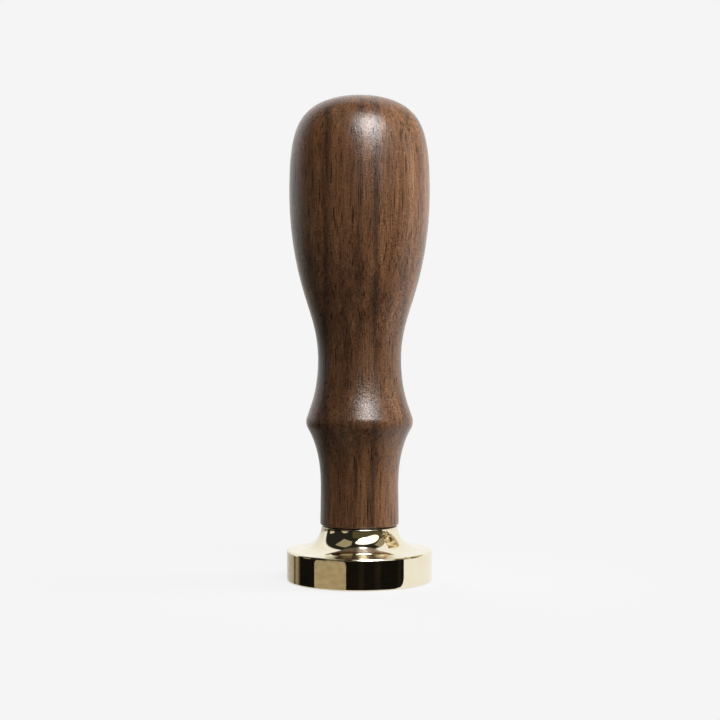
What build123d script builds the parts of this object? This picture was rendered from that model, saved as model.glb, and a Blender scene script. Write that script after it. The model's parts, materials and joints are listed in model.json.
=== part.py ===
from build123d import *
from math import cos, pi, radians, sin, tan
import os

# A wax seal stamp: a turned wooden handle on an engraved brass head that unscrews from it.
# Millimetres, +Z up. The origin is the middle of the die face, on which the stamp stands.

# Brass head: a round die whose top sweeps up in a cove to a narrow neck
die_diameter = 25.0
die_height = 5.3
die_edge_radius = 0.4
rim_land = 1.0
cove_height = 3.85
neck_diameter = 13.2
neck_land = 0.2
neck_edge_radius = 0.1

# Engraving of the die face: a rosette of petals and dots inside a ring
engraving_depth = 0.6
engraving_draft = 40.0
border_inset = 1.6
border_width = 1.8
petal_count = 6
petal_start = 1.8
petal_width = 2.8
petal_border_gap = 0.8
dot_diameter = 1.8
dot_border_gap = 1.0

# Metric thread that joins head and stud; crest and root flats are shares of the pitch
thread_diameter = 6.0
thread_pitch = 1.0
thread_angle = 60.0
thread_crest_share = 1 / 8
thread_root_share = 1 / 4
thread_clearance = 0.1
cutter_margin = 0.08
drill_point_angle = 118.0
die_floor = 0.9
mouth_chamfer = 0.4

# Steel stud that stays in the handle: a threaded end with a hexagon socket, and a plain shank
stud_length = 16.0
stud_tip_gap = 0.4
socket_width = 3.0
socket_depth = 3.5
shank_relief = 0.06
shank_bevel = 0.4

# Nylon washer in a recess of the neck
recess_wall = 0.9
recess_depth = 0.35
washer_thickness = 0.5
washer_side_clearance = 0.2
washer_bore_clearance = 0.2

# Brass sleeve around the shank, glued into the handle
sleeve_wall = 1.6
sleeve_spare = 2.4
sleeve_setback = 0.3
glue_groove_count = 3
glue_groove_width = 1.2
glue_groove_depth = 0.35
glue_gap = 0.1
bore_spare = 0.6

# Wooden handle: rings of its outline, each with the stretch up to it from the ring below
foot_diameter = 13.55
foot_edge_radius = 0.45
lower_neck_diameter = 13.4
foot_to_lower_neck = 6.5
bead_diameter = 18.4
lower_neck_to_bead = 11.32
waist_diameter = 14.35
bead_to_waist = 10.73
belly_diameter = 24.25
waist_to_belly = 28.95
belly_to_top = 16.4

# The bead's narrow upright band, and the lean of the flanks that curve into it
bead_band = 0.2
bead_edge_radius = 2.0
bead_lower_lean = 31.0
bead_upper_lean = 18.5

# Where the outline bends between two rings: share of the way out and share of the way up
bead_lower_bend = (0.18, 0.50)
bead_upper_bend = (0.55, 0.322)
taper_bend = (0.464, 0.38)
shoulder_bend = (0.353, 0.887)

# Radii and heights that follow from these and that several pieces share
die_radius = die_diameter / 2
neck_radius = neck_diameter / 2
cove_outer = die_radius - rim_land
cove_top = die_height + cove_height
neck_top = cove_top + neck_land
recess_radius = neck_radius - recess_wall
recess_floor = neck_top - recess_depth
foot_height = recess_floor + washer_thickness

thread_slope = tan(radians(thread_angle / 2))
flank_share = (1 - thread_crest_share - thread_root_share) / 2
thread_depth = flank_share * thread_pitch / thread_slope
stud_radius = thread_diameter / 2 - thread_clearance
stud_core_radius = stud_radius - thread_depth
tap_radius = thread_diameter / 2 + thread_clearance
drill_radius = tap_radius - thread_depth - cutter_margin
drill_point = drill_radius / tan(radians(drill_point_angle / 2))
hole_bottom = engraving_depth + die_floor + drill_point

stud_bottom = hole_bottom + stud_tip_gap
stud_top = stud_bottom + stud_length
shank_radius = stud_core_radius - shank_relief
sleeve_bore_radius = shank_radius + glue_gap
sleeve_radius = sleeve_bore_radius + sleeve_wall
sleeve_bottom = foot_height + sleeve_setback
sleeve_top = stud_top + sleeve_spare
bore_radius = sleeve_radius + glue_gap
bore_top = sleeve_top + bore_spare
bore_point = bore_radius / tan(radians(drill_point_angle / 2))

UP = (0, 1)
INWARD = (-1, 0)
OUTWARD = (1, 0)


def between(ring, next_ring, bend):
    """A point on the way from one ring to the next, at shares of the distance out and up."""
    out, up = bend
    return (ring[0] + out * (next_ring[0] - ring[0]), ring[1] + up * (next_ring[1] - ring[1]))


def bead_edge(ring, lean, side):
    """Where the bead's band and its flank above or below end at the round edge, and the flank's way up."""
    band_end = (ring[0], ring[1] + side * bead_band / 2)
    flank_end = (
        band_end[0] - bead_edge_radius * (1 - cos(radians(lean))),
        band_end[1] + side * bead_edge_radius * sin(radians(lean)),
    )
    return band_end, flank_end, (-side * sin(radians(lean)), cos(radians(lean)))


def scoop_radius(width):
    """Radius of the round cutter that leaves a hollow of this width, as deep as the engraving."""
    return ((width / 2) ** 2 / engraving_depth + engraving_depth) / 2


def threaded_rod(crest_radius, low, high):
    """A right-hand threaded rod with flat ends, in step with the other one: its cross-section, twisted."""
    root_radius = crest_radius - thread_depth
    flank_steps = 4

    def place(radius, turn):
        angle = 2 * pi * (turn + low / thread_pitch)
        return (radius * cos(angle), radius * sin(angle))

    def flank(side):
        ways = [step / flank_steps for step in range(flank_steps + 1)]
        return [
            place(crest_radius - way * thread_depth, side * (thread_crest_share / 2 + way * flank_share))
            for way in ways
        ]

    with BuildPart() as rod:
        with BuildLine() as axis:
            Line((0, 0, low), (0, 0, high))
        with BuildLine() as twist:
            Helix(thread_pitch, high - low, crest_radius, center=(0, 0, low))
        with BuildSketch(Plane.XY.offset(low)):
            with BuildLine():
                leading = Spline(*flank(1))
                trailing = Spline(*flank(-1))
                ThreePointArc(trailing @ 0, place(crest_radius, 0), leading @ 0)
                ThreePointArc(leading @ 1, place(root_radius, 1 / 2), trailing @ 1)
            make_face()
        sweep(path=axis.edge(), binormal=twist.edge())
    return rod.part


stud_thread = threaded_rod(stud_radius, stud_bottom, foot_height)
head_tap = threaded_rod(tap_radius, hole_bottom + cutter_margin, neck_top + cutter_margin)

# Engraving: the border ring's outline, and the round cutter that scoops out one petal
border_outer = die_radius - border_inset
border_inner = border_outer - border_width
petal_end = border_inner - petal_border_gap
petal_middle = (petal_start + petal_end) / 2
petal_along = scoop_radius(petal_end - petal_start)
petal_axis_height = engraving_depth - scoop_radius(petal_width)
dot_ring = border_inner - dot_border_gap - dot_diameter / 2

with BuildSketch() as border:
    Circle(border_outer)
    Circle(border_inner, mode=Mode.SUBTRACT)

with BuildPart() as petal_cutter:
    with BuildSketch(Plane.XZ):
        with Locations((petal_middle, engraving_depth - petal_along)):
            Circle(petal_along)
        with Locations((petal_middle, petal_axis_height)):
            Rectangle(2 * petal_along, petal_along, align=(Align.CENTER, Align.MIN), mode=Mode.INTERSECT)
    revolve(axis=Axis((0, 0, petal_axis_height), (1, 0, 0)))

# Seal head: one turned solid, tapped from above and engraved from below
with BuildPart() as seal_head:
    with BuildSketch(Plane.XZ) as head_half:
        with BuildLine():
            Polyline(
                (0, hole_bottom - drill_point),
                (0, 0),
                (die_radius, 0),
                (die_radius, die_height),
                (cove_outer, die_height),
            )
            EllipticalCenterArc(
                (cove_outer, cove_top), cove_outer - neck_radius, cove_height, start_angle=270, arc_size=-90
            )
            Polyline(
                (neck_radius, cove_top),
                (neck_radius, neck_top),
                (recess_radius, neck_top),
                (recess_radius, recess_floor),
                (tap_radius + mouth_chamfer, recess_floor),
                (drill_radius, recess_floor - tap_radius - mouth_chamfer + drill_radius),
                (drill_radius, hole_bottom),
                (0, hole_bottom - drill_point),
            )
        make_face()
        fillet(head_half.vertices().group_by(Axis.X)[-1], die_edge_radius)
        fillet(head_half.vertices().group_by(Axis.Y)[-1].sort_by(Axis.X)[-1], neck_edge_radius)
    revolve(axis=Axis.Z)
    add(head_tap, mode=Mode.SUBTRACT)
    extrude(border.sketch, amount=engraving_depth, taper=engraving_draft, mode=Mode.SUBTRACT)
    with PolarLocations(0, petal_count):
        add(petal_cutter.part, mode=Mode.SUBTRACT)
    with PolarLocations(dot_ring, petal_count, start_angle=180 / petal_count):
        with Locations((0, 0, engraving_depth - scoop_radius(dot_diameter))):
            Sphere(scoop_radius(dot_diameter), mode=Mode.SUBTRACT)
seal_head.part.label = "seal_head"

# Washer: a flat ring that fills the recess and keeps the wood just off the brass
with BuildPart() as washer:
    with BuildSketch(Plane.XY.offset(recess_floor)):
        Circle(recess_radius - washer_side_clearance)
        Circle(thread_diameter / 2 + washer_bore_clearance, mode=Mode.SUBTRACT)
    extrude(amount=washer_thickness)
washer.part.label = "washer"

# Stud: a bevelled threaded end, its hexagon socket below and its plain shank above
with BuildPart() as stud:
    add(stud_thread)
    with BuildSketch(Plane.XY.offset(stud_bottom)):
        RegularPolygon(socket_width / 2, 6, major_radius=False)
    extrude(amount=socket_depth, mode=Mode.SUBTRACT)
    with BuildSketch(Plane.XZ):
        with BuildLine():
            Polyline(
                (stud_core_radius - cutter_margin, stud_bottom),
                (stud_radius + cutter_margin, stud_bottom),
                (stud_radius + cutter_margin, stud_bottom + thread_depth + 2 * cutter_margin),
                close=True,
            )
        make_face()
    revolve(axis=Axis.Z, mode=Mode.SUBTRACT)
    with BuildSketch(Plane.XY.offset(foot_height)):
        Circle(shank_radius)
    extrude(amount=stud_top - foot_height)
    chamfer(stud.edges().group_by(Axis.Z)[-1], shank_bevel)
stud.part.label = "stud"

# Sleeve: a plain bush with rings of glue grooves
with BuildPart() as sleeve:
    with BuildSketch(Plane.XY.offset(sleeve_bottom)):
        Circle(sleeve_radius)
        Circle(sleeve_bore_radius, mode=Mode.SUBTRACT)
    extrude(amount=sleeve_top - sleeve_bottom)
    groove_spacing = (sleeve_top - sleeve_bottom) / (glue_groove_count + 1)
    with BuildSketch(Plane.XZ):
        for groove in range(glue_groove_count):
            with Locations((sleeve_radius, sleeve_bottom + (groove + 1) * groove_spacing)):
                Rectangle(2 * glue_groove_depth, glue_groove_width)
    revolve(axis=Axis.Z, mode=Mode.SUBTRACT)
sleeve.part.label = "sleeve"

# Handle: one turned solid with a drilled blind bore for the sleeve
foot_ring = (foot_diameter / 2, foot_height + foot_edge_radius)
lower_neck_ring = (lower_neck_diameter / 2, foot_height + foot_to_lower_neck)
bead_ring = (bead_diameter / 2, lower_neck_ring[1] + lower_neck_to_bead)
waist_ring = (waist_diameter / 2, bead_ring[1] + bead_to_waist)
belly_ring = (belly_diameter / 2, waist_ring[1] + waist_to_belly)
top_point = (0, belly_ring[1] + belly_to_top)

band_low, lower_flank_end, lower_flank_way = bead_edge(bead_ring, bead_lower_lean, -1)
band_high, upper_flank_end, upper_flank_way = bead_edge(bead_ring, bead_upper_lean, 1)

with BuildPart() as handle:
    with BuildSketch(Plane.XZ):
        with BuildLine():
            Polyline(
                top_point,
                (0, bore_top + bore_point),
                (bore_radius, bore_top),
                (bore_radius, foot_height),
                (foot_ring[0] - foot_edge_radius, foot_height),
            )
            TangentArc((foot_ring[0] - foot_edge_radius, foot_height), foot_ring, tangent=OUTWARD)
            Spline(
                foot_ring,
                lower_neck_ring,
                between(lower_neck_ring, lower_flank_end, bead_lower_bend),
                lower_flank_end,
                tangents=(UP, lower_flank_way),
            )
            TangentArc(lower_flank_end, band_low, tangent=lower_flank_way)
            Line(band_low, band_high)
            TangentArc(band_high, upper_flank_end, tangent=UP)
            Spline(
                upper_flank_end,
                between(upper_flank_end, waist_ring, bead_upper_bend),
                waist_ring,
                tangents=(upper_flank_way, UP),
            )
            Spline(waist_ring, between(waist_ring, belly_ring, taper_bend), belly_ring, tangents=(UP, UP))
            Spline(
                belly_ring,
                between(belly_ring, top_point, shoulder_bend),
                top_point,
                tangents=(UP, INWARD),
            )
        make_face()
    revolve(axis=Axis.Z)
handle.part.label = "handle"

os.makedirs("parts", exist_ok=True)
for piece in (handle, sleeve, stud, washer, seal_head):
    export_step(piece.part, f"parts/{piece.part.label}.step")
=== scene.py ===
import json
from math import cos, radians, sin, sqrt

import bpy
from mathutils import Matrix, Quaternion, Vector


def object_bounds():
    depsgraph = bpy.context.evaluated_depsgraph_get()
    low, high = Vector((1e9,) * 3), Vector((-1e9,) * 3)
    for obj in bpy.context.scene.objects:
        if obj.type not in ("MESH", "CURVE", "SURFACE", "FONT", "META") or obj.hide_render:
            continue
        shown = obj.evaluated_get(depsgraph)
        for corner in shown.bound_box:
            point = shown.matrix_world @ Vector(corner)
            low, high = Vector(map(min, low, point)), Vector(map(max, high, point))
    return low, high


# A wax seal stamp on a pale floor: walnut handle, polished brass head, black washer, steel stud.
# Metres, in the solid model's frame: +Z up, the stamp stands on the floor at the origin, -Y faces the camera.
# Sizes of the patterns in materials are in millimetres.

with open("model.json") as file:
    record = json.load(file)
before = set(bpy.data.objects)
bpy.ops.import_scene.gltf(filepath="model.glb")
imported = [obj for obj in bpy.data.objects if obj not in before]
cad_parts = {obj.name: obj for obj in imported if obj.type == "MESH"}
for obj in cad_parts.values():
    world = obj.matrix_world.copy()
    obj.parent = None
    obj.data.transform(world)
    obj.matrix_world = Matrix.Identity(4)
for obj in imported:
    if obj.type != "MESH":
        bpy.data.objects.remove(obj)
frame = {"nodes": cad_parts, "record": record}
cad_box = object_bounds()

MM = 0.001


# Building blocks for node materials

# The span in which most values of a noise lie
NOISE_SPAN = (0.3, 0.7)


def new_tree(name):
    """A new material and its node tree, with no nodes in it."""
    material = bpy.data.materials.new(name)
    material.use_nodes = True
    material.node_tree.nodes.clear()
    return material, material.node_tree


def put(tree, kind, inputs=None, **settings):
    """Adds a node, sets its options, and links or sets its inputs."""
    made = tree.nodes.new("ShaderNode" + kind)
    for name, value in settings.items():
        setattr(made, name, value)
    for key, value in (inputs or {}).items():
        if isinstance(value, bpy.types.NodeSocket):
            tree.links.new(value, made.inputs[key])
        else:
            made.inputs[key].default_value = value
    return made


def calc(tree, operation, first, second=0.0):
    """One step of arithmetic, on one value or two."""
    return put(tree, "Math", {0: first, 1: second}, operation=operation).outputs[0]


def vector_calc(tree, operation, first, second):
    """One step of arithmetic on two vectors."""
    return put(tree, "VectorMath", {0: first, 1: second}, operation=operation).outputs[0]


def length(tree, vector):
    """How long a vector is."""
    return put(tree, "VectorMath", {0: vector}, operation="LENGTH").outputs["Value"]


def from_axis(tree, place):
    """How far a place is from the upright line through the origin."""
    return length(tree, vector_calc(tree, "MULTIPLY", place, (1, 1, 0)))


def height_of(tree, place):
    """How high a place is."""
    return put(tree, "SeparateXYZ", {0: place}).outputs["Z"]


def rescale(tree, value, low, high, new_low, new_high):
    """Maps one span of values to another, and clamps to it."""
    spans = {0: value, 1: low, 2: high, 3: new_low, 4: new_high}
    return put(tree, "MapRange", spans, clamp=True).outputs[0]


def millimetres(tree):
    """The place on the piece, in millimetres, which moves with the piece."""
    place = put(tree, "TexCoord").outputs["Object"]
    return vector_calc(tree, "MULTIPLY", place, (1 / MM, 1 / MM, 1 / MM))


def stretched(tree, place, size):
    """Coordinates in which a feature of this size is one unit each way."""
    return vector_calc(tree, "DIVIDE", place, size)


def noise(tree, place, size, detail=2.0, roughness=0.5, output="Fac"):
    """Cloudy noise whose features have this size."""
    inputs = {"Vector": stretched(tree, place, size), "Scale": 1.0, "Detail": detail, "Roughness": roughness}
    return put(tree, "TexNoise", inputs).outputs[output]


def spots(tree, place, size):
    """Scattered cells of this size: distance from the nearest centre, and a random colour for each."""
    inputs = {"Vector": stretched(tree, place, size), "Scale": 1.0}
    cells = put(tree, "TexVoronoi", inputs)
    return cells.outputs["Distance"], cells.outputs["Color"]


def ramp(tree, value, stops):
    """Colours along a value, from a list of position and colour."""
    made = put(tree, "ValToRGB", {0: value})
    elements = made.color_ramp.elements
    while len(elements) < len(stops):
        elements.new(1.0)
    for element, (position, colour) in zip(elements, stops):
        element.position = position
        element.color = (*colour, 1.0)
    return made.outputs[0]


def greys(*stops):
    """Stops for a ramp of greys, from pairs of position and value."""
    return [(position, (value, value, value)) for position, value in stops]


def grey(tree, value):
    """The same value as red, green and blue."""
    return put(tree, "CombineColor", {0: value, 1: value, 2: value}).outputs[0]


def flat_grey(value):
    """One grey all over, for a shader's colour socket."""
    return (value, value, value, 1)


def mix(tree, share, first, second, blend="MIX"):
    """Blends two colours."""
    made = put(tree, "Mix", data_type="RGBA", blend_type=blend)
    for socket, value in ((made.inputs[0], share), (made.inputs[6], first), (made.inputs[7], second)):
        if isinstance(value, bpy.types.NodeSocket):
            tree.links.new(value, socket)
        else:
            socket.default_value = value if socket.type == "VALUE" else (*value, 1.0)
    return made.outputs[2]


def mix_shaders(tree, share, first, second):
    """Blends two shaders."""
    return put(tree, "MixShader", {0: share, 1: first.outputs[0], 2: second.outputs[0]})


def close_surface(tree, shader):
    """Joins a shader to the material's output."""
    put(tree, "OutputMaterial", {"Surface": shader.outputs[0]})


def finish_surface(tree, inputs, height, bump_strength, bump_depth):
    """Makes the surface from its shader's inputs and a bump of this depth."""
    bump = put(tree, "Bump", {"Strength": bump_strength, "Distance": bump_depth * MM, "Height": height})
    close_surface(tree, put(tree, "BsdfPrincipled", {**inputs, "Normal": bump.outputs[0]}))


# Materials of the stamp

def pores(tree, grain, size, width, share):
    """Dark dashes along the grain: cells of this size, of which this share hold a pore."""
    core_share = 0.65
    choice_blur = 0.1
    distance, colour = spots(tree, grain, size)
    inside = rescale(tree, distance, core_share * width, width, 1.0, 0.0)
    draw = put(tree, "SeparateColor", {0: colour}).outputs[0]
    chosen = rescale(tree, draw, 1 - share, 1 - share + choice_blur, 0.0, 1.0)
    return calc(tree, "MULTIPLY", inside, chosen)


def walnut():
    """Oiled black walnut, grown along Z: dark growth lines, fine fibres and open pores."""
    material, tree = new_tree("walnut")
    pith = (-40.0, -10.0, 0.0)
    ring_spacing = 2.72
    ring_shift = 0.34
    ring_seed = 3102
    faintest_ring = 0.15
    faintest_patch = 0.4
    painted_shade_height = 80.0
    line_colour = (0.022, 0.0138, 0.0095)
    pore_colour = (0.0075, 0.0038, 0.0022)
    pore_cover = 0.88
    streak_cover = 0.7
    wood_shine = 0.46
    pore_shine = 0.24
    sway_size = (26, 26, 60)
    sway_reach = (1.6, 1.6, 0)
    body_size = (1.9, 1.9, 60)
    patch_size = (1.6, 1.6, 28)
    fibre_size = (0.20, 0.40, 6.0)
    speckle_size = (0.34, 0.55, 0.26)
    streak_size = (0.42, 0.80, 16)
    place = millimetres(tree)

    # The grain sways a little from straight
    sway = noise(tree, place, sway_size, output="Color")
    sway = vector_calc(tree, "MULTIPLY", vector_calc(tree, "SUBTRACT", sway, (0.5, 0.5, 0.5)), sway_reach)
    grain = vector_calc(tree, "ADD", place, sway)

    # Brown of the wood between its growth lines, with painted shade that darkens it lower down, most about
    # the waist
    body = noise(tree, grain, body_size, detail=6.0, roughness=0.66)
    colour = ramp(tree, body, [
        (0.30, (0.046, 0.0190, 0.0075)),
        (0.46, (0.086, 0.0368, 0.0149)),
        (0.58, (0.115, 0.0508, 0.0213)),
        (0.74, (0.160, 0.0755, 0.0335)),
    ])
    # Painted shade by height: darker lower down and darkest about the waist, lightest on the dome
    up = rescale(tree, height_of(tree, place), 0.0, painted_shade_height, 0.0, 1.0)
    painted_shade = ramp(tree, up, greys((0.12, 0.88), (0.34, 0.77), (0.46, 0.72), (0.62, 0.92), (0.80, 1.0)))
    colour = mix(tree, 1.0, colour, painted_shade, "MULTIPLY")

    # Growth lines around the pith, some faint and some strong, broken into patches
    distance = from_axis(tree, vector_calc(tree, "SUBTRACT", grain, pith))
    rings = calc(tree, "ADD", calc(tree, "DIVIDE", distance, ring_spacing), ring_shift)
    phase = calc(tree, "FRACT", rings)
    line_stops = greys((0.00, 0.85), (0.13, 0.35), (0.30, 0.0), (0.72, 0.08), (0.88, 0.80), (1.00, 0.85))
    line = ramp(tree, phase, line_stops)
    seeded = calc(tree, "ADD", calc(tree, "ROUND", rings), ring_seed)
    ring_strength = put(tree, "TexWhiteNoise", {"W": seeded}, noise_dimensions="1D").outputs["Value"]
    ring_strength = rescale(tree, ring_strength, 0.0, 1.0, faintest_ring, 1.0)
    patches = rescale(tree, noise(tree, grain, patch_size, detail=3.0), 0.35, 0.58, faintest_patch, 1.0)
    line = calc(tree, "MULTIPLY", line, calc(tree, "MULTIPLY", ring_strength, patches))
    colour = mix(tree, line, colour, line_colour)

    # Fibres and speckles shade the colour
    fibre = noise(tree, grain, fibre_size, detail=4.0, roughness=0.7)
    fibre_shade = rescale(tree, fibre, *NOISE_SPAN, 0.60, 1.40)
    speckle = noise(tree, grain, speckle_size, detail=3.0, roughness=0.7)
    speckle_shade = rescale(tree, speckle, 0.34, 0.66, 0.50, 1.50)
    shade = grey(tree, calc(tree, "MULTIPLY", fibre_shade, speckle_shade))
    colour = mix(tree, 1.0, colour, shade, "MULTIPLY")

    # Open pores and dark streaks
    streak = rescale(tree, noise(tree, grain, streak_size, detail=2.0), 0.62, 0.72, 0.0, streak_cover)
    long_pores = pores(tree, grain, size=(0.40, 0.60, 9.0), width=0.29, share=0.58)
    short_pores = pores(tree, grain, size=(0.28, 0.42, 3.6), width=0.28, share=0.45)
    pore = calc(tree, "MAXIMUM", long_pores, short_pores)
    dark = calc(tree, "MAXIMUM", pore, streak)
    colour = mix(tree, calc(tree, "MULTIPLY", dark, pore_cover), colour, pore_colour)

    # Raised fibres and speckles, sunk pores, and an oiled shine that the pores lack
    height = calc(tree, "ADD", calc(tree, "MULTIPLY", fibre, 0.3), speckle)
    height = calc(tree, "SUBTRACT", height, calc(tree, "MULTIPLY", pore, 0.2))
    inputs = {
        "Base Color": colour,
        "Roughness": rescale(tree, fibre, *NOISE_SPAN, 0.25, 0.33),
        "Specular IOR Level": rescale(tree, pore, 0.0, 1.0, wood_shine, pore_shine),
        "IOR": 1.5,
        "Sheen Weight": 0.12,
        "Sheen Roughness": 0.3,
    }
    finish_surface(tree, inputs, height, bump_strength=0.75, bump_depth=0.05)
    return material


def brass():
    """Polished brass with faint clouds and fine wiping marks, matt and darker in the engraving."""
    material, tree = new_tree("brass")
    engraving_depth = 0.6
    engraved_radius = 11.7
    edge_blur = 0.1
    engraved_colour = (0.52, 0.38, 0.19)
    engraved_roughness = 0.36
    cloud_size = (5, 5, 5)
    wiping_size = (0.5, 0.5, 0.12)
    wave_size = (3.0, 3.0, 3.0)
    place = millimetres(tree)

    # The engraving: off the face, no deeper than it was cut, and inside the plain rim
    up = height_of(tree, place)
    deep = rescale(tree, up, 0.1 * engraving_depth, 0.7 * engraving_depth, 0.0, 1.0)
    low = rescale(tree, up, 1.1 * engraving_depth, 1.2 * engraving_depth, 1.0, 0.0)
    within = rescale(tree, from_axis(tree, place), engraved_radius, engraved_radius + edge_blur, 1.0, 0.0)
    engraved = calc(tree, "MULTIPLY", calc(tree, "MULTIPLY", deep, low), within)

    clouds = noise(tree, place, cloud_size, detail=4.0)
    colour = ramp(tree, clouds, [(0.3, (0.885, 0.80, 0.59)), (0.7, (0.915, 0.85, 0.68))])
    colour = mix(tree, engraved, colour, engraved_colour)
    wiping = noise(tree, place, wiping_size, detail=5.0, roughness=0.7)
    roughness = rescale(tree, wiping, 0.3, 0.75, 0.03, 0.08)
    roughness = calc(tree, "MAXIMUM", roughness, calc(tree, "MULTIPLY", engraved, engraved_roughness))
    waves = noise(tree, place, wave_size, detail=1.0)
    inputs = {"Base Color": colour, "Metallic": 1.0, "Roughness": roughness}
    finish_surface(tree, inputs, waves, bump_strength=0.1, bump_depth=0.02)
    return material


def steel():
    """Zinc-plated steel with a fine drawn grain."""
    material, tree = new_tree("steel")
    grain_size = (0.1, 0.1, 1.5)
    drawn = noise(tree, millimetres(tree), grain_size, detail=3.0)
    colour = ramp(tree, drawn, [(0.3, (0.42, 0.42, 0.43)), (0.7, (0.56, 0.56, 0.57))])
    roughness = rescale(tree, drawn, *NOISE_SPAN, 0.24, 0.4)
    inputs = {"Base Color": colour, "Metallic": 1.0, "Roughness": roughness}
    finish_surface(tree, inputs, drawn, bump_strength=0.2, bump_depth=0.01)
    return material


def nylon():
    """Black nylon with a fine moulded grain."""
    material, tree = new_tree("nylon")
    grain_size = (0.15, 0.15, 0.15)
    speckle = noise(tree, millimetres(tree), grain_size, detail=3.0)
    colour = ramp(tree, speckle, [(0.3, (0.012, 0.012, 0.012)), (0.7, (0.028, 0.027, 0.026))])
    roughness = rescale(tree, speckle, *NOISE_SPAN, 0.45, 0.65)
    inputs = {"Base Color": colour, "Roughness": roughness}
    finish_surface(tree, inputs, speckle, bump_strength=0.2, bump_depth=0.01)
    return material


looks = {"walnut": walnut(), "brass": brass(), "steel": steel(), "nylon": nylon()}
for subpart in frame["record"]["subparts"]:
    for material_slot in frame["nodes"][subpart["node"]].material_slots:
        material_slot.material = looks[subpart["material_slot"]]


# Stage: floor, and cards that the polished head mirrors

# Brightness of the white that is seen around the stamp, and of the white cove that the stamp mirrors
BACKGROUND = 0.913
COVE = 0.96
CAMERA = Vector((0, -240, 37.86)) * MM
DIE_RADIUS = (cad_box[1].x - cad_box[0].x) / 2
DIE_OPENING = DIE_RADIUS - MM
FLOOR_RADIUS = 2.0
DARK = (0.007, 0.0055, 0.0045)
BROWN = (0.018, 0.013, 0.009)
TAN = (0.39, 0.315, 0.20)
SILVER = (0.52, 0.50, 0.46)


def staged(name, points, faces, look):
    """A flat stage piece from its points and faces."""
    mesh = bpy.data.meshes.new(name)
    mesh.from_pydata(points, [], faces)
    mesh.materials.append(look)
    made = bpy.data.objects.new(name, mesh)
    bpy.context.collection.objects.link(made)
    return made


def strip_faces(steps):
    """Faces of a strip whose points alternate between its two long edges."""
    return [(2 * step, 2 * step + 1, 2 * step + 3, 2 * step + 2) for step in range(steps)]


def floor_look():
    """Pale floor: seen as even white with the stamp's soft shadow near it, and clear from below."""
    material, tree = new_tree("floor")
    edge_start = DIE_RADIUS - 0.15 * MM
    edge_end = DIE_RADIUS + 0.05 * MM
    edge_share = 0.3
    shadow_end = 60 * MM
    shadow_share = 0.11
    paper_grey = 0.18
    shaded_grey = 0.45
    path = put(tree, "LightPath")
    place = put(tree, "NewGeometry")
    away = length(tree, place.outputs["Position"])
    under_edge = rescale(tree, away, edge_start, edge_end, edge_share, 0.0)
    near = rescale(tree, away, DIE_RADIUS, shadow_end, shadow_share, 0.0)
    paper = put(tree, "BsdfDiffuse", {"Color": flat_grey(paper_grey)})
    shaded = put(tree, "BsdfDiffuse", {"Color": flat_grey(shaded_grey)})
    white = put(tree, "Emission", {"Color": flat_grey(BACKGROUND), "Strength": 1.0})
    seen = mix_shaders(tree, calc(tree, "MAXIMUM", under_edge, near), white, shaded)
    shown = calc(tree, "MAXIMUM", path.outputs["Is Camera Ray"], path.outputs["Is Glossy Ray"])
    shown = calc(tree, "MAXIMUM", shown, path.outputs["Is Transmission Ray"])
    top = mix_shaders(tree, shown, paper, seen)
    clear = put(tree, "BsdfTransparent")
    close_surface(tree, mix_shaders(tree, place.outputs["Backfacing"], top, clear))
    return material


def lay_floor(steps=96):
    """A round floor with an opening under the die, so that the die can be seen from below."""
    points = []
    for step in range(steps + 1):
        turn = radians(360 * step / steps)
        points += [(radius * sin(turn), -radius * cos(turn), 0) for radius in (DIE_OPENING, FLOOR_RADIUS)]
    staged("floor", points, strip_faces(steps), floor_look())


def card_look(name, size, low, high):
    """A card that glows in the colour of its points, mottled in patches of this size."""
    material, tree = new_tree(name)
    shade = put(tree, "Attribute", attribute_name="shade").outputs["Color"]
    mottle = noise(tree, millimetres(tree), (size, size, size), detail=3.0)
    mottle = rescale(tree, mottle, 0.35, 0.65, low, high)
    close_surface(tree, put(tree, "Emission", {"Color": shade, "Strength": mottle}))
    return material


plain_card = card_look("card", size=5, low=0.88, high=1.12)
crumpled_card = card_look("crumpled card", size=170, low=0.0, high=2.8)


def show_card(name, points, faces, shades, look=plain_card):
    """A card that only polished surfaces see."""
    made = staged(name, points, faces, look)
    shade = made.data.color_attributes.new("shade", "FLOAT_COLOR", "POINT")
    shade.data.foreach_set("color", [part for colour in shades for part in (*colour, 1.0)])
    made.visible_camera = False
    made.visible_diffuse = False
    made.visible_shadow = False


def colour_at(stops, angle):
    """The colour at an angle, between the stops before and after it."""
    for (low, first), (high, second) in zip(stops, stops[1:]):
        if low <= angle <= high:
            share = (angle - low) / (high - low)
            return tuple(one + share * (two - one) for one, two in zip(first, second))
    return stops[-1][1]


def corner_cut(along, radius):
    """How far a round corner of this radius is cut back at a distance along the edge."""
    missing = min(max(radius - along, 0.0), radius)
    return radius - sqrt(radius ** 2 - missing ** 2)


def lay_panel(name, stops, low, high, low_corner, high_corner, lift, steps=160):
    """A card just above the floor that the die's side mirrors as an upright panel.

    The stops are angles, 0 towards the camera and 90 to the right, with the colours there. The panel reaches
    from one height on the die to the other; its lower right corner and both upper ones can be round.
    """
    start, end = stops[0][0], stops[-1][0]
    points = []
    shades = []
    for step in range(steps + 1):
        angle = start + (end - start) * step / steps
        turn = radians(angle)
        out = Vector((sin(turn), -cos(turn), 0))
        foot = out * DIE_RADIUS
        sight = (foot - CAMERA) * Vector((1, 1, 0))
        away = sight.normalized().reflect(out)
        from_start = DIE_RADIUS * radians(angle - start)
        from_end = DIE_RADIUS * radians(end - angle)
        bottom = low + corner_cut(from_end, low_corner)
        top = high - corner_cut(min(from_start, from_end), high_corner)
        for height in (bottom, top):
            reach = height * sight.length / (CAMERA.z - height)
            points.append(foot + away * reach + Vector((0, 0, lift)))
            shades.append(colour_at(stops, angle))
    show_card(name, points, strip_faces(steps), shades)


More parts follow.
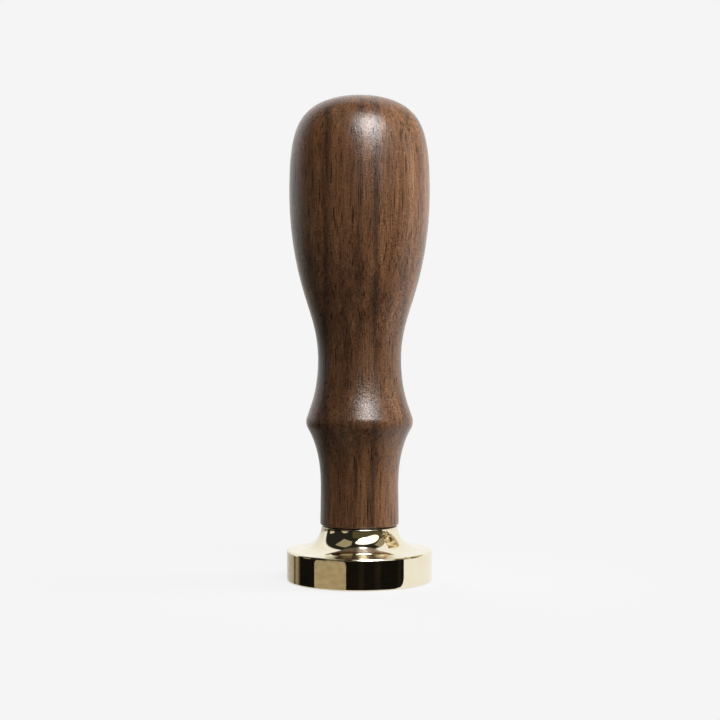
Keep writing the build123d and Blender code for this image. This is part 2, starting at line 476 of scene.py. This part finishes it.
def studio_place(turn, rise, distance):
    """A place in the studio seen from the stamp: degrees right of the camera and above level."""
    level = distance * cos(radians(rise))
    return Vector((level * sin(radians(turn)), -level * cos(radians(turn)), distance * sin(radians(rise))))


def hang_card(name, corners, colour, distance=1.2, look=plain_card):
    """A card of one colour in the studio, by the directions of its corners."""
    points = [studio_place(turn, rise, distance) for turn, rise in corners]
    show_card(name, points, [tuple(range(len(corners)))], [colour] * len(corners), look)


def hang_wall(name, columns, low, distance=1.4):
    """A wall from columns of direction, top and shade: shaded at its foot, cove white at its top."""
    blue_share = 0.97
    points = []
    shades = []
    for turn, top, shade in columns:
        points += [studio_place(turn, low, distance), studio_place(turn, top, distance)]
        shades += [(shade, shade, blue_share * shade), (COVE, COVE, COVE)]
    show_card(name, points, strip_faces(len(columns) - 1), shades)


def hang_glow(name, turn, rise, radius, brightness, distance, corner_count=24):
    """A round white card in the studio, by the direction of its middle and its radius in degrees."""
    corners = []
    for corner in range(corner_count):
        around = radians(360 * corner / corner_count)
        corners.append((turn + radius * cos(around) / cos(radians(rise)), rise + radius * sin(around)))
    hang_card(name, corners, (brightness, brightness, brightness), distance)


lay_floor()
room_stops = [
    (-89.0, (0.75, 0.74, 0.72)),
    (-76.0, SILVER),
    (-63.0, (0.36, 0.32, 0.26)),
    (-62.3, (0.10, 0.08, 0.05)),
    (-59.8, (0.13, 0.10, 0.06)),
    (-59.0, (0.30, 0.25, 0.16)),
    (-56.0, (0.24, 0.20, 0.13)),
    (-53.5, BROWN),
    (-51.5, DARK),
    (-2.0, DARK),
    (1.5, BROWN),
    (4.0, DARK),
    (10.0, DARK),
    (14.0, BROWN),
    (17.0, DARK),
    (29.0, DARK),
    (32.0, BROWN),
    (33.5, DARK),
    (35.9, DARK),
]
panel_stops = [(-36.8, TAN), (-10.3, TAN)]
lay_panel("room", room_stops, low=0.0, high=34 * MM, low_corner=1.8 * MM, high_corner=0.0, lift=0.05 * MM)
lay_panel("panel", panel_stops, low=0.0, high=4.85 * MM, low_corner=0.0, high_corner=0.8 * MM, lift=0.1 * MM)
hang_card("window_left", [(-99, -3), (-82, -4), (-80, 5), (-97, 10)], (0.62, 0.56, 0.42))
hang_card("window", [(-66, -7), (-28, -7), (-34, 2), (-46, 7)], (0.55, 0.50, 0.36))
hang_card("board_left", [(-102, 54), (-50, 37), (-27, 53), (-50, 72), (-105, 72)], (0.34, 0.30, 0.20))
hang_card("board_right", [(66, 34), (76, 30), (98, 50), (112, 64), (70, 64)], (0.32, 0.28, 0.19))
crumpled_corners = [(76, -7), (105, 8), (128, 20), (145, 29), (145, 40), (142, 52), (90, 43), (69, 18)]
hang_card("crumpled", crumpled_corners, (0.34, 0.28, 0.18), distance=1.1, look=crumpled_card)
hang_wall("wall_left", [(-176, 50, COVE), (-150, 50, 0.74), (-134, 36, 0.62), (-120, 8, 0.58)], low=-4)
hang_card("table", [(-20, -4), (70, -4), (75, 34), (-22, 30)], (0.085, 0.072, 0.040), distance=1.3)
hang_glow("key_glow", turn=20.5, rise=45.2, radius=13.0, brightness=9.0, distance=0.80)


# World and lamps

def set_world():
    """Studio: a white cove behind the stamp and to its right, a dark room in front and above."""
    cove_direction = (0.31, 1.0, -0.22)
    cove_start = 0.06
    cove_end = 0.14
    room_colour = (0.02, 0.019, 0.018)
    soft_strength = 0.33
    world = bpy.data.worlds.new("studio")
    bpy.context.scene.world = world
    world.use_nodes = True
    tree = world.node_tree
    tree.nodes.clear()
    path = put(tree, "LightPath")
    direction = put(tree, "TexCoord").outputs["Generated"]
    towards = {0: direction, 1: cove_direction}
    behind = put(tree, "VectorMath", towards, operation="DOT_PRODUCT").outputs["Value"]
    share = rescale(tree, behind, cove_start, cove_end, 0.0, 1.0)
    cove = ramp(tree, share, [(0, room_colour), (1, (COVE, COVE, COVE))])
    studio = put(tree, "Background", {"Color": cove, "Strength": 1.0})
    soft = put(tree, "Background", {"Color": cove, "Strength": soft_strength})
    white = put(tree, "Background", {"Color": flat_grey(BACKGROUND), "Strength": 1.0})
    lit = mix_shaders(tree, path.outputs["Is Diffuse Ray"], studio, soft)
    both = mix_shaders(tree, path.outputs["Is Camera Ray"], lit, white)
    put(tree, "OutputWorld", {"Surface": both.outputs[0]})


def softbox(name, turn, rise, distance, size, power, roll=0):
    """An oval soft lamp aimed at the middle of the stamp: degrees right of the camera and above level."""
    lamp = bpy.data.lights.new(name, "AREA")
    lamp.shape = "ELLIPSE"
    lamp.size, lamp.size_y = size
    lamp.energy = power
    made = bpy.data.objects.new(name, lamp)
    bpy.context.collection.objects.link(made)
    aim = (cad_box[0] + cad_box[1]) / 2
    out = studio_place(turn, rise, 1.0)
    made.location = aim + distance * out
    made.rotation_euler = (out.to_track_quat("Z", "Y") @ Quaternion((0, 0, 1), radians(roll))).to_euler()
    return made


set_world()
softbox("key_heart", turn=19.5, rise=44.0, distance=0.57, size=(0.24, 0.22), power=1.25)
softbox("key", turn=21.0, rise=45.3, distance=0.58, size=(0.36, 0.28), power=2.7)
softbox("key_spill", turn=32.4, rise=42.9, distance=0.60, size=(0.846, 0.418), power=1.2, roll=-52.8)
side_lamp = softbox("side", turn=95, rise=22, distance=0.80, size=(0.5, 0.5), power=14.5)
back_lamp = softbox("back", turn=-150, rise=25, distance=0.80, size=(0.5, 0.5), power=7.0)
for unmirrored_lamp in (side_lamp, back_lamp):
    unmirrored_lamp.visible_glossy = False


# Camera, which looks level at the stamp

camera_data = bpy.data.cameras.new("camera")
camera_data.sensor_width = 36.0
camera_data.lens = 69.48
camera_data.shift_x = 0.0006
camera_data.shift_y = 0.0007
camera = bpy.data.objects.new("camera", camera_data)
bpy.context.collection.objects.link(camera)
camera.location = CAMERA
camera.rotation_euler = (radians(90), 0, 0)
bpy.context.scene.camera = camera

bpy.context.scene.view_settings.view_transform = "Standard"
